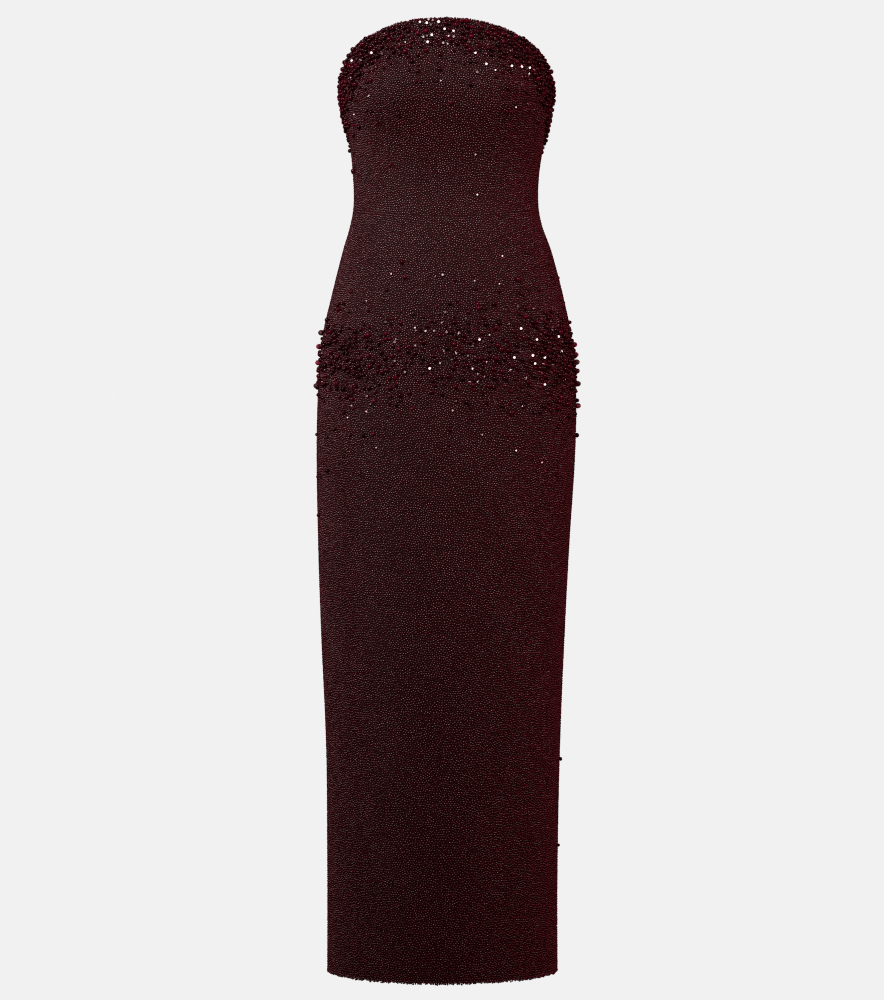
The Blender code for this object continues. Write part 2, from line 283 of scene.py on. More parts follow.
def seam_lines(turn, height):
    """The turns of the side seam and the princess seam, which is out of reach below the waist."""
    return SIDE + 0 * height, np.where(height > waistline(turn), princess(height), NO_SEAM)


def back_gap(height):
    """How far each back edge stands from centre back: the vent below, the slider's notch above."""
    vent = VENT_HALF_OPEN * np.maximum(1 - height / VENT_TOP, 0.0)
    below_neck = neckline(BACK) - height
    return vent + NOTCH_HALF_WIDE * np.clip(2 - below_neck / NOTCH_DEEP, 0.0, 1.0)


# Panels, with their side edges as functions of height and their ends as functions of turn

def flat_zero(turn):
    return np.zeros_like(np.asarray(turn, float))


def at_side(sign):
    return lambda height: sign * SIDE + 0.0 * height


def at_princess(sign):
    return lambda height: sign * princess(height)


def at_back(sign):
    return lambda height: sign * (BACK - back_gap(height) / per_degree(sign * BACK, height))


PANELS = table(
    "name left right foot top columns rows",
    ("bodice_front", at_princess(-1), at_princess(1), waistline, neckline, 18, 22),
    ("bodice_side_front_r", at_princess(1), at_side(1), waistline, neckline, 14, 20),
    ("bodice_side_front_l", at_side(-1), at_princess(-1), waistline, neckline, 14, 20),
    ("bodice_back_r", at_side(1), at_back(1), waistline, neckline, 22, 18),
    ("bodice_back_l", at_back(-1), at_side(-1), waistline, neckline, 22, 18),
    ("skirt_front", at_side(-1), at_side(1), flat_zero, waistline, 44, 80),
    ("skirt_back_r", at_side(1), at_back(1), flat_zero, waistline, 22, 80),
    ("skirt_back_l", at_back(-1), at_side(-1), flat_zero, waistline, 22, 80),
)


def panel_of(turn, height):
    """The number of the panel that each place is on."""
    around = np.abs(turn)
    right = turn > 0
    bodice = height > waistline(turn)
    in_front = around < SIDE
    number = np.where(right, 3, 4)
    number = np.where(in_front, np.where(right, 1, 2), number)
    number = np.where(around < princess(height), 0, number)
    skirt = np.where(in_front, 5, np.where(right, 6, 7))
    return np.where(bodice, number, skirt)


# Meshes


def new_object(name, data):
    made = bpy.data.objects.new(name, data)
    scene.collection.objects.link(made)
    return made


def add_map(mesh, name, values, triangles):
    layer = mesh.uv_layers.new(name=name)
    layer.uv.foreach_set("vector", values[triangles.ravel()].astype(np.float32).ravel())


def new_mesh(name, points, triangles, materials, normals=None, bake=None, facts=None, kinds=None):
    """An object from arrays: facts are numbers for its points, and kinds its faces' materials."""
    mesh = bpy.data.meshes.new(name)
    mesh.vertices.add(len(points))
    mesh.vertices.foreach_set("co", points.astype(np.float32).ravel())
    mesh.loops.add(3 * len(triangles))
    mesh.loops.foreach_set("vertex_index", triangles.astype(np.int32).ravel())
    mesh.polygons.add(len(triangles))
    mesh.polygons.foreach_set("loop_start", np.arange(0, 3 * len(triangles), 3, dtype=np.int32))
    for made in materials:
        mesh.materials.append(made)
    if kinds is not None:
        mesh.polygons.foreach_set("material_index", kinds.astype(np.int32))
    if bake is not None:
        add_map(mesh, "OFBake", bake, triangles)
    for fact, values in (facts or {}).items():
        held = mesh.attributes.new(fact, "FLOAT", "POINT")
        held.data.foreach_set("value", values.astype(np.float32))
    mesh.update(calc_edges=True)
    if normals is None:
        mesh.shade_flat()
    else:
        mesh.shade_smooth()
        mesh.normals_split_custom_set_from_vertices(unit(normals).astype(np.float32))
    return new_object(name, mesh)


Shape = namedtuple("Shape", "points triangles normals tile")
GLOBE_LEANS = (140.0, 98.0, 60.0, 28.0)
GLOBE_LIFT = 0.77


def ring(radius, height, count, turned=0.0):
    """Points round a bead's axis, at a height."""
    angle = 2 * np.pi * (np.arange(count) + turned) / count
    return np.stack((radius * np.cos(angle), radius * np.sin(angle), np.full(count, height)), axis=-1)


def seed_shape():
    """A low dome of 9 triangles: three points under the cloth, three part way up, and the top."""
    foot = ring(1.0, -0.08, 3)
    waist = ring(0.80, 0.62, 3, 0.5)
    points = np.vstack((foot, waist, [[0, 0, 1.0]]))
    triangles = []
    for n in range(3):
        after = (n + 1) % 3
        triangles += [(n, after, 3 + n), (after, 3 + after, 3 + n), (3 + n, 3 + after, 6)]
    lean = np.radians([84.0] * 3 + [47.0] * 3 + [0.0])
    flat = unit(points[:, :2] + 1e-9)
    normals = np.column_stack((flat * np.sin(lean)[:, None], np.cos(lean)))
    tile = np.vstack((foot[:, :2] * 0.42, waist[:, :2] * 0.42, [[0, 0]])) + 0.5
    return Shape(points, np.array(triangles), normals, tile)


def ring_faces(rings, sides):
    """Triangles that join a bead's rings, each turned by half a side from the one below."""
    triangles = []
    for level in range(rings - 1):
        low, high = level * sides, (level + 1) * sides
        for n in range(sides):
            after = (n + 1) % sides
            if level % 2:
                triangles += [(low + n, low + after, high + after), (low + n, high + after, high + n)]
            else:
                triangles += [(low + n, low + after, high + n), (low + after, high + after, high + n)]
    return triangles


def gem_shape(sides, levels):
    """A faceted bead with a flat table; levels are its rings' radius and height, from its foot up."""
    rings = [ring(radius, height, sides, 0.5 * (n % 2)) for n, (radius, height) in enumerate(levels)]
    table = (len(rings) - 1) * sides
    triangles = ring_faces(len(rings), sides)
    triangles += [(table, table + n, table + n + 1) for n in range(1, sides - 1)]
    reach = np.linspace(0.46, 0.20, len(rings))
    tile = np.vstack([unit(part[:, :2]) * far for part, far in zip(rings, reach)]) + 0.5
    return Shape(np.vstack(rings), np.array(triangles), None, tile)


def globe_shape(sides):
    """A round bead, shaded smooth, and open underneath where the cloth hides it."""
    lean = np.radians(GLOBE_LEANS)
    rings = [ring(np.sin(a), np.cos(a), sides, 0.5 * (n % 2)) for n, a in enumerate(lean)]
    normals = np.vstack((*rings, [[0, 0, 1.0]]))
    last, top = (len(rings) - 1) * sides, len(rings) * sides
    triangles = ring_faces(len(rings), sides)
    triangles += [(last + n, last + (n + 1) % sides, top) for n in range(sides)]
    reach = np.repeat((0.46, 0.36, 0.24, 0.12), sides)
    tile = np.vstack((unit(normals[:-1, :2]) * reach[:, None], [[0, 0]])) + 0.5
    return Shape(normals + (0, 0, GLOBE_LIFT), np.array(triangles), normals, tile)


def ball_shape():
    """A round bead of 20 triangles, shaded smooth."""
    lean = math.atan(2.0)
    upper = ring(math.sin(lean), math.cos(lean), 5)
    lower = ring(math.sin(lean), -math.cos(lean), 5, 0.5)
    points = np.vstack(([[0, 0, 1.0]], upper, lower, [[0, 0, -1.0]]))
    triangles = []
    for n in range(5):
        after = (n + 1) % 5
        triangles += [(0, 1 + n, 1 + after), (11, 6 + after, 6 + n)]
        triangles += [(1 + n, 6 + n, 1 + after), (1 + after, 6 + n, 6 + after)]
    reach = np.array([0.0] + [0.18] * 5 + [0.34] * 5 + [0.46])
    flat = np.vstack(([[1.0, 0]], unit(upper[:, :2]), unit(lower[:, :2]), [[1.0, 0]]))
    return Shape(points, np.array(triangles), points.copy(), flat * reach[:, None] + 0.5)


def scatter(shape, centres, frames, sizes, flat=1.0):
    """Points, triangles, normals and bake map of many copies of a shape, each in its own frame.

    Under 1, flat makes a bead's top shine as a flatter one does.
    """
    count, each = len(centres), len(shape.points)
    local = shape.points[None] * sizes[:, None, :]
    points = centres[:, None, :] + np.einsum("nij,nki->nkj", frames, local)
    triangles = shape.triangles[None] + (np.arange(count) * each)[:, None, None]
    normals = None
    if shape.normals is not None:
        flatter = np.stack(np.broadcast_arrays(flat, flat, np.ones(count)), axis=-1)
        leans = shape.normals[None] * flatter[:, None, :]
        normals = np.einsum("nij,nki->nkj", frames, leans).reshape(-1, 3)
    side = math.ceil(math.sqrt(count))
    corner = np.stack((np.arange(count) % side, np.arange(count) // side), axis=-1)
    bake = (corner[:, None, :] + shape.tile[None]) / side
    return points.reshape(-1, 3), triangles.reshape(-1, 3), normals, bake.reshape(-1, 2)


def joined(parts):
    """Scattered parts as one, with a square of the bake map for each."""
    starts = np.cumsum([0] + [len(part[0]) for part in parts])
    side = math.ceil(math.sqrt(len(parts)))
    points = np.vstack([part[0] for part in parts])
    triangles = np.vstack([part[1] + start for part, start in zip(parts, starts)])
    normals = None if parts[0][2] is None else np.vstack([part[2] for part in parts])
    bake = np.vstack([(part[3] + (n % side, n // side)) / side for n, part in enumerate(parts)])
    return points, triangles, normals, bake


def frames_at(turn, height, tilt, aim=None):
    """Frames spun at random, their last axis out of the cloth or at an aim, but for a tilt."""
    round_it, up, out = axes(turn, height)
    count = len(turn)
    lean = dice.normal(0.0, 1.0, (2, count, 1)) * np.reshape(tilt, (-1, 1))
    out = unit((out if aim is None else aim) + lean[0] * round_it + lean[1] * up)
    round_it = unit(round_it - out * np.sum(out * round_it, axis=-1, keepdims=True))
    up = np.cross(out, round_it)
    angle = dice.uniform(0, 2 * np.pi, (count, 1))
    first = np.cos(angle) * round_it + np.sin(angle) * up
    return np.stack((first, np.cross(out, first), out), axis=1)


# Materials


def node(tree, kind, **values):
    """A node with its settings and the values of its sockets, which a leading underscore marks."""
    made = tree.nodes.new(kind)
    for name, value in values.items():
        if name.startswith("_"):
            made.inputs[name[1:].replace("_", " ")].default_value = value
        else:
            setattr(made, name, value)
    return made


def new_material(name, **values):
    """A Principled material, its constant values set on the shader's own sockets."""
    made = bpy.data.materials.new(name)
    made.use_nodes = True
    shader = made.node_tree.nodes["Principled BSDF"]
    for key, value in values.items():
        shader.inputs[key.replace("_", " ")].default_value = value
    return made, made.node_tree, shader


def ramp(tree, source, stops):
    """A colour ramp from (place, colour) stops, read from a socket."""
    made = node(tree, "ShaderNodeValToRGB")
    band = made.color_ramp
    while len(band.elements) < len(stops):
        band.elements.new(1.0)
    for element, (place, colour) in zip(band.elements, stops):
        element.position = place
        element.color = (*colour, 1.0)
    tree.links.new(source, made.inputs["Fac"])
    return made.outputs["Color"]


def spread(tree, source, low, high):
    """A socket's 0 to 1 mapped to low to high."""
    made = node(tree, "ShaderNodeMapRange", _To_Min=low, _To_Max=high)
    tree.links.new(source, made.inputs["Value"])
    return made.outputs["Result"]


def mixed(tree, share, first, second, blend="MIX"):
    """Two colours mixed; each is a socket or a colour, and so is the share or a number."""
    made = node(tree, "ShaderNodeMix", data_type="RGBA", blend_type=blend)
    for socket, value in ((made.inputs[0], share), (made.inputs[6], first), (made.inputs[7], second)):
        if isinstance(value, bpy.types.NodeSocket):
            tree.links.new(value, socket)
        elif isinstance(value, tuple):
            socket.default_value = (*value, 1.0)
        else:
            socket.default_value = value
    return made.outputs[2]


def noise(tree, scale, detail=2.0, roughness=0.5):
    """Noise over the object's own coordinates, in waves to the metre."""
    where = node(tree, "ShaderNodeTexCoord")
    made = node(tree, "ShaderNodeTexNoise", _Scale=scale, _Detail=detail, _Roughness=roughness)
    tree.links.new(where.outputs["Object"], made.inputs["Vector"])
    return made.outputs["Fac"]


def finish_with(tree, shader, colour, roughness, bumps, deep):
    """A shader's colour, roughness and bump, each from a socket."""
    made = node(tree, "ShaderNodeBump", _Distance=deep)
    tree.links.new(bumps, made.inputs["Height"])
    tree.links.new(made.outputs["Normal"], shader.inputs["Normal"])
    tree.links.new(colour, shader.inputs["Base Color"])
    tree.links.new(roughness, shader.inputs["Roughness"])


def fact(tree, name):
    """A number held by each of a mesh's points."""
    return node(tree, "ShaderNodeAttribute", attribute_type="GEOMETRY", attribute_name=name).outputs["Fac"]


def glass(kind):
    """Coloured glass, cloudy and uneven, with each bead's own tone and polish; the palest tones are a
    painted glow.
    """
    made, tree, shader = new_material(kind.name, Specular_IOR_Level=kind.shine, Specular_Tint=kind.tint)
    grain = noise(tree, kind.waves)
    colour = ramp(tree, fact(tree, "tone"), kind.stops)
    cloudy = ramp(tree, grain, ((0.3, (kind.cloud,) * 3), (0.7, (1.0, 1.0, 1.0))))
    colour = mixed(tree, 1.0, colour, cloudy, "MULTIPLY")
    polish = spread(tree, fact(tree, "polish"), *kind.polish)
    finish_with(tree, shader, colour, polish, grain, kind.uneven)
    return made


SEED_STOPS = (
    (0.00, (0.016, 0.0003, 0.0010)), (0.30, (0.034, 0.0004, 0.0021)),
    (0.60, (0.054, 0.0006, 0.0040)), (0.82, (0.084, 0.0008, 0.0072)),
    (0.91, (0.060, 0.0080, 0.0110)), (1.00, (0.160, 0.0012, 0.0150)),
)
# Tones of the large beads, which vary at random from bead to bead. The palest stops, from 0.94 up, are a
# painted glow: a pale pink that stands in for light on and through the round beads at the outline.
GEM_TONES_AND_GLOW = (
    (0.00, (0.014, 0.0003, 0.0011)), (0.35, (0.045, 0.0006, 0.0042)),
    (0.60, (0.100, 0.0009, 0.0100)), (0.80, (0.180, 0.0017, 0.0210)),
    (0.86, (0.100, 0.0220, 0.0320)), (0.94, (0.220, 0.0900, 0.1000)),
    (0.96, (0.480, 0.0500, 0.1200)), (1.00, (0.600, 0.0800, 0.1600)),
)


def cloth_material(name, dark, light, thread, depth, **values):
    """Woven cloth: warp and weft threads over the panel's own flat coordinates, in metres."""
    made, tree, shader = new_material(name, **values)
    where = node(tree, "ShaderNodeUVMap", uv_map="cut")
    waves = []
    for direction in ("X", "Y"):
        wave = node(tree, "ShaderNodeTexWave", bands_direction=direction, _Scale=thread)
        tree.links.new(where.outputs["UV"], wave.inputs["Vector"])
        waves.append(wave.outputs["Fac"])
    woven = node(tree, "ShaderNodeMath", operation="MAXIMUM")
    tree.links.new(waves[0], woven.inputs[0])
    tree.links.new(waves[1], woven.inputs[1])
    patches = noise(tree, 22.0, 3.0)
    ground = mixed(tree, patches, dark, light)
    shade = spread(tree, woven.outputs[0], 0.55, 1.0)
    colour = mixed(tree, 1.0, ground, shade, "MULTIPLY")
    finish_with(tree, shader, colour, spread(tree, woven.outputs[0], 0.75, 0.5), woven.outputs[0], depth)
    return made


GLASSES = table(
    "name stops polish uneven waves cloud shine tint",
    ("seed glass", SEED_STOPS, (0.25, 0.34), 0.00001, 420.0, 0.55, 1.0, (1.0, 0.81, 0.85, 1.0)),
    ("round glass", GEM_TONES_AND_GLOW, (0.05, 0.30), 0.00004, 640.0, 0.25, 0.35, (1.0, 0.74, 0.78, 1.0)),
    ("faceted glass", GEM_TONES_AND_GLOW, (0.03, 0.40), 0.00001, 640.0, 0.30, 0.8, (1.0, 0.78, 0.81, 1.0)),
)
seed_glass, round_glass, faceted_glass = (glass(kind) for kind in GLASSES)
outer_cloth = cloth_material(
    "beading ground",
    dark=(0.022, 0.0004, 0.0008),
    light=(0.036, 0.0008, 0.0014),
    thread=900.0,
    depth=0.0001,
    Specular_IOR_Level=0.2,
)
inner_cloth = cloth_material(
    "cloth inside",
    dark=(0.030, 0.006, 0.009),
    light=(0.042, 0.009, 0.013),
    thread=700.0,
    depth=0.00008,
    Specular_IOR_Level=0.35,
    Sheen_Weight=0.25,
    Sheen_Roughness=0.4,
    Sheen_Tint=(0.5, 0.2, 0.24, 1.0),
)


# Cloth


def panel_grid(panel):
    """Turns and heights over a panel, a row for each step up it."""
    across = np.linspace(0, 1, panel.columns + 1)[None, :]
    up = np.linspace(0, 1, panel.rows + 1)[:, None]
    turn = panel.left(WAIST_SIDE) * (1 - across) + panel.right(WAIST_SIDE) * across + 0 * up
    for _ in range(3):
        height = panel.foot(turn) * (1 - up) + panel.top(turn) * up
        turn = panel.left(height) * (1 - across) + panel.right(height) * across
    return turn, height


def grid_faces(at):
    """Triangles of a grid of numbered points."""
    a, b, c, d = (x.ravel() for x in (at[:-1, :-1], at[:-1, 1:], at[1:, 1:], at[1:, :-1]))
    return np.vstack((np.stack((a, b, c), -1), np.stack((a, c, d), -1)))


def rim(at):
    """The numbers of a grid's outer points, once round anticlockwise."""
    return np.concatenate((at[0, :-1], at[:-1, -1], at[-1, :0:-1], at[:0:-1, 0]))


def make_cloth(panel):
    """A panel of cloth: a thin closed wall under the beads, with its cut declared."""
    turn, height = panel_grid(panel)
    out = axes(turn, height)[2]
    faces, normals = [], []
    for depth, side in ((CLOTH_DEPTH, 1), (WALL, -1)):
        faces.append(under(turn, height, depth).reshape(-1, 3))
        normals.append(side * out.reshape(-1, 3))
    each = len(faces[0])
    at = np.arange(each).reshape(turn.shape)
    loop = rim(at)
    after = np.roll(loop, -1)
    sides = np.vstack(
        (np.stack((loop, loop + each, after + each), -1), np.stack((loop, after + each, after), -1))
    )
    skin = grid_faces(at)
    triangles = np.vstack((skin, skin[:, ::-1] + each, sides))
    kinds = np.zeros(len(triangles), int)
    kinds[len(skin) :] = 1
    points, normals, cloths = np.vstack(faces), np.vstack(normals), (outer_cloth, inner_cloth)
    made = new_mesh("cloth_" + panel.name, points, triangles, cloths, normals, kinds=kinds)
    step = np.linalg.norm(np.diff(faces[0].reshape(turn.shape + (3,)), axis=1), axis=-1)
    reach = np.concatenate((np.zeros((len(step), 1)), np.cumsum(step, axis=1)), axis=1)
    cut = np.stack((reach - reach[:, -1:] / 2, height), -1).reshape(-1, 2)
    add_map(made.data, "cut", np.vstack((cut, cut)), triangles)
    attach(made, "gown")
    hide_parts(panel.name)


for panel in PANELS:
    make_cloth(panel)


# Large beads

CLUSTERS = table(
    "turn height turn_spread height_spread share",
    (-80, 0.796, 15, 0.030, 0.6), (-50, 0.790, 18, 0.032, 0.5),
    (-26, 0.796, 12, 0.030, 0.45), (6, 0.798, 14, 0.036, 0.8),
    (27, 0.782, 9, 0.032, 0.5), (52, 0.796, 17, 0.040, 1.0),
    (78, 0.788, 16, 0.040, 1.0), (64, 0.740, 18, 0.030, 0.08),
    (112, 0.790, 16, 0.032, 0.8), (141, 0.806, 12, 0.026, 0.6),
    (166, 0.782, 15, 0.032, 0.8), (-168, 0.796, 14, 0.028, 0.8),
    (-139, 0.776, 13, 0.032, 0.6), (-112, 0.800, 15, 0.030, 0.9),
)
CLUSTER_SHARE = 0.33
HIP_MIDDLE = 0.790
HIP_SHARE = 0.030
HIP_TALL = 0.050
HIP_SCATTER_SHARE = 0.015
HIP_SCATTER_TALL = 0.088
SIDE_BARE = 11.0
SIDE_BARE_SHARE = 0.94


def gem_share(turn, height):
    """How likely a large bead is at a place."""
    below = neckline(turn) - height
    side = np.abs(np.sin(np.radians(turn))) ** 3
    deep = NECK_BAND_DEEP + (NECK_BAND_DEEP_SIDE - NECK_BAND_DEEP) * side
    fall = np.exp(-(np.abs(below / deep) ** (NECK_FALL + NECK_FALL_MORE * side)))
    neck = (NECK_SHARE + NECK_SHARE_MORE * side) * fall
    deep = NECK_SCATTER_DEEP - NECK_SCATTER_LESS * side
    neck += NECK_SCATTER_SHARE * np.exp(-((below / deep) ** 4))
    hips = HIP_SHARE * np.exp(-(((height - HIP_MIDDLE) / HIP_TALL) ** 4))
    hips += HIP_SCATTER_SHARE * np.exp(-(((height - HIP_MIDDLE) / HIP_SCATTER_TALL) ** 2))
    for cluster in CLUSTERS:
        away = wrapped(turn - cluster.turn) / cluster.turn_spread
        up = (height - cluster.height) / cluster.height_spread
        hips += CLUSTER_SHARE * cluster.share * np.exp(-(away**2) - up**2)
    hips *= 1 - SIDE_BARE_SHARE * np.exp(-(((np.abs(turn) - SIDE) / SIDE_BARE) ** 2))
    return neck + hips


GLOBE = globe_shape(8)
BALL = globe_shape(12)
CRYSTAL = gem_shape(8, ((0.70, 0.0), (1.0, 0.45), (0.60, 1.0)))
STAR = gem_shape(8, ((0.70, 0.0), (1.0, 0.45), (0.66, 1.0)))
SHARD = gem_shape(5, ((0.80, 0.0), (1.0, 0.40), (0.45, 1.0)))
SLIVER = gem_shape(6, ((0.90, 0.0), (1.0, 0.50), (0.75, 1.0)))
KINDS = table(
    "name shape chance round long tall tone polish tilt",
    ("globe", GLOBE, 0.46, (0.0019, 0.0035), (0.95, 1.05), (0.9, 1.05), (0.0, 0.82), (0.0, 1.0), 0.10),
    ("crystal", CRYSTAL, 0.37, (0.0017, 0.0027), (1.0, 1.0), (1.1, 1.4), (0.0, 0.70), (0.4, 1.0), 0.22),
    ("shard", SHARD, 0.17, (0.0012, 0.0017), (1.5, 2.4), (1.2, 1.6), (0.3, 0.92), (0.5, 1.0), 0.40),
    ("star", STAR, 0.0, (0.0022, 0.0027), (1.0, 1.0), (1.2, 1.3), (0.0, 0.4), (0.0, 0.1), 0.01),
    ("spark", STAR, 0.0, (0.0014, 0.0018), (1.0, 1.0), (1.3, 1.5), (0.4, 0.8), (0.2, 0.8), 0.04),
    ("sliver", SLIVER, 0.0, (0.0009, 0.0011), (2.2, 2.9), (1.3, 1.5), (0.86, 0.94), (0.5, 0.8), 0.06),
    # The balls at the outline take the palest tones, their own crimson with a painted glow over it.
    ("ball", BALL, 0.0, (0.0035, 0.0039), (1.0, 1.0), (1.1, 1.2), (0.90, 1.0), (0.3, 0.6), 0.05),
)
AIMED = ("star", "spark", "sliver")
SMOOTH = ("globe", "ball")

# Beads that catch the light or stand out at the edge, by where the photograph shows them
SEEN = table(
    "x y kind",
    (420, 22, "star"), (427, 23, "star"), (433, 20), (439, 22, "star"), (445, 29, "star"),
    (454, 31, "star"), (432, 35, "star"), (449, 36), (428, 42, "star"), (448, 44), (405, 42),
    (371, 53, "star"), (351, 61, "star"), (360, 60, "sliver"), (350, 78), (368, 96, "sliver"),
    (353, 115), (441, 81), (476, 53, "star"), (487, 64, "star"), (496, 70), (513, 66, "star"),
    (523, 67, "star"), (531, 68, "star"), (530, 74, "sliver"), (543, 76, "star"), (547, 85), (517, 108),
    (442, 323), (415, 328), (415, 346), (430, 369, "star"), (459, 333, "sliver"), (444, 351, "sliver"),
    (456, 353, "sliver"), (452, 360, "sliver"), (473, 369), (480, 340, "star"), (490, 335), (487, 362),
    (485, 377), (478, 374, "sliver"), (478, 382), (470, 382, "sliver"), (510, 324), (522, 329, "star"),
    (538, 340, "star"), (515, 358, "star"), (534, 356, "star"), (536, 364, "star"), (546, 358, "star"),
    (560, 337, "star"), (563, 352, "star"), (546, 385, "star"), (552, 321), (511, 370, "sliver"),
    (527, 378, "sliver"), (550, 381, "sliver"), (566, 380), (569, 351), (476, 155), (478, 195),
    (475, 281), (366, 301), (391, 274), (500, 284), (503, 256), (351, 406), (347, 418), (376, 448),
    (366, 412), (483, 435), (517, 451), (543, 463), (572, 417), (453, 411), (561, 759, "globe"),
    (561, 845, "globe"), (577, 435, "globe"), (319, 515, "globe"), (577, 345, "ball"),
    (578, 355, "ball"), (578, 363, "ball"), (578, 371, "ball"), (579, 384, "ball"), (579, 406, "ball"),
    (322, 333, "ball"), (319, 347, "ball"), (317, 363, "ball"), (316, 386, "ball"),
    last="spark",
)
SEEN_TURN_MOST = 88.0
SEEN_TURNS = 1761
SEEN_EDGE_CLEAR = 0.0022
BALL_STEP = 2.0


def place_of(seen):
    """Turn and height of the front face where a pixel of the photograph shows it."""
    turns = np.linspace(-SEEN_TURN_MOST, SEEN_TURN_MOST, SEEN_TURNS)
    across = (seen.x - PICTURE_WIDE / 2) / CAMERA_FOCAL_PIXELS
    up = (PICTURE_HIGH / 2 - seen.y) / CAMERA_FOCAL_PIXELS
    away = -CAMERA_AT[1]
    for _ in range(5):
        height = CAMERA_AT[2] + up * away + HOLD_HEIGHT
        row = surface(turns, height)
        nearest = np.argmin(np.abs(row[:, 0] - CAMERA_AT[0] - across * away))
        away = row[nearest, 1] - CAMERA_AT[1]
    turn = turns[nearest]
    return turn, min(height, neckline(turn) - SEEN_EDGE_CLEAR)


def gem_places():
    """Turns, heights, kinds and sizes of the large beads, none of which overlap."""
    names = [kind.name for kind in KINDS]
    given = np.array([(*place_of(seen), names.index(seen.kind)) for seen in SEEN])
    balls = given[:, 2] == names.index("ball")
    given[balls, 0] -= np.sign(given[balls, 0]) * BALL_STEP * (np.arange(balls.sum()) % 3)
    turn = dice.uniform(-180, 180, GEM_TRIES)
    height = dice.uniform(GEM_LOWEST, NECK_FRONT, GEM_TRIES)
    lucky = dice.uniform(0, 1, len(turn)) < gem_share(turn, height)
    turn, height = turn[lucky], height[lucky]
    kind = dice.choice(len(KINDS), len(turn), p=[k.chance for k in KINDS])
    turn, height = np.concatenate((given[:, 0], turn)), np.concatenate((given[:, 1], height))
    kind = np.concatenate((given[:, 2].astype(int), kind))
    low, high = (np.array([k.round[end] for k in KINDS])[kind] for end in (0, 1))
    size = low + (high - low) * dice.uniform(0, 1, len(turn))
    largest_first = np.argsort(np.where(np.arange(len(turn)) < len(given), -1.0, -size), kind="stable")
    turn, height, kind, size = (x[largest_first] for x in (turn, height, kind, size))
    near = per_degree(turn, height)
    around = np.abs(turn)
    off_back = (BACK - around) * near
    keep = height < neckline(turn) - GEM_EDGE_CLEAR * size
    keep &= off_back > back_gap(height) + size + SEAM
    keep &= ~((height > ZIP_LOW) & (off_back < size + TAPE_CLEAR))
    keep &= ~((height > neckline(turn) - SLIDER_CLEAR_DEEP) & (off_back < SLIDER_CLEAR))
    for line in seam_lines(turn, height):
        keep &= np.abs(around - line) * near > GEM_SEAM_CLEAR * size
    turn, height, kind, size = (x[keep] for x in (turn, height, kind, size))
    points = surface(turn, height)
    chosen = []
    for n in range(len(turn)):
        away = np.linalg.norm(points[chosen] - points[n], axis=1)
        if np.all(away > GEM_APART * (size[chosen] + size[n])):
            chosen.append(n)
    return turn[chosen], height[chosen], kind[chosen], size[chosen]


def to_key(points):
    """Directions in which a facet mirrors the main light to the front."""
    return unit(unit(np.array(CAMERA_AT) - points) + unit(np.array(KEY_AT) - points))


gem_turn, gem_height, gem_kind, gem_size = gem_places()
gem_foot = under(gem_turn, gem_height, CLOTH_DEPTH)
gem_panel = panel_of(gem_turn, gem_height)


def make_gems(name, chosen, smooth):
    """The smooth or the faceted large beads of one panel, as one mesh."""
    parts, facts = [], {"tone": [], "polish": []}
    for number, kind in enumerate(KINDS):
        here = chosen & (gem_kind == number)
        count = int(here.sum())
        if not count or (kind.name in SMOOTH) != smooth:
            continue
        size = gem_size[here]
        sizes = np.stack(
            (size * dice.uniform(*kind.long, count), size, size * dice.uniform(*kind.tall, count)), axis=-1
        )
        aim = to_key(gem_foot[here]) if kind.name in AIMED else None
        frames = frames_at(gem_turn[here], gem_height[here], kind.tilt, aim)
        parts.append(scatter(kind.shape, gem_foot[here], frames, sizes))
        for key, low, high in (("tone", *kind.tone), ("polish", *kind.polish)):
            values = low + (high - low) * dice.beta(*GEM_FACT_BETA, count)
            facts[key].append(np.repeat(values, len(kind.shape.points)))
    if not parts:
        return
    points, triangles, normals, bake = joined(parts)
    facts = {key: np.concatenate(values) for key, values in facts.items()}
    glass_used = round_glass if smooth else faceted_glass
    made = new_mesh(name, points, triangles, (glass_used,), normals, bake, facts)
    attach(made, "gown")


for number, panel in enumerate(PANELS):
    make_gems("round_beads_" + panel.name, gem_panel == number, True)
    make_gems("faceted_beads_" + panel.name, gem_panel == number, False)


# Seed beads


def row_wave(turn, height):
    """How far the rows of sewing stray up and down, which dies out at the hem."""
    wave = 0.0
    for deep, times, climb in ROW_WAVES:
        wave = wave + deep * np.sin(np.radians(times * turn) + climb * height)
    return wave * np.clip(height / ROW_WAVE_FROM, 0, 1)


def shaken_rows():
    """Staggered rows of beads over the whole gown, moved in waves and each a little at random."""
    turns, heights = [], []
    circle = np.linspace(-BACK, BACK, ROW_TURNS)
    for row in range(int(NECK_FRONT / SEED_ROW)):
        height = EDGE_CLEAR + SEED_ROW * row
        reach = reach_along(circle, height)
        count = round(reach[-1] / SEED_PITCH)
        at = (np.arange(count) + 0.5 * (row % 2)) / count * reach[-1]
        turns.append(np.interp(at, reach, circle))
        heights.append(np.full(count, height))
    turn, height = np.concatenate(turns), np.concatenate(heights)
    shake = dice.uniform(-SEED_SHAKE, SEED_SHAKE, (2, len(turn)))
    turn = turn + shake[0] / per_degree(turn, height)
    height = height + shake[1] + row_wave(turn, height)
    turn = wrapped(turn)
    keep = height < neckline(turn) - EDGE_CLEAR / 2
    return turn[keep], height[keep]


def moved_off(value, line, clear):
    """A value moved to at least this far from a line."""
    off = value - line
    return np.where(np.abs(off) < clear, line + np.where(off < 0, -clear, clear), value)


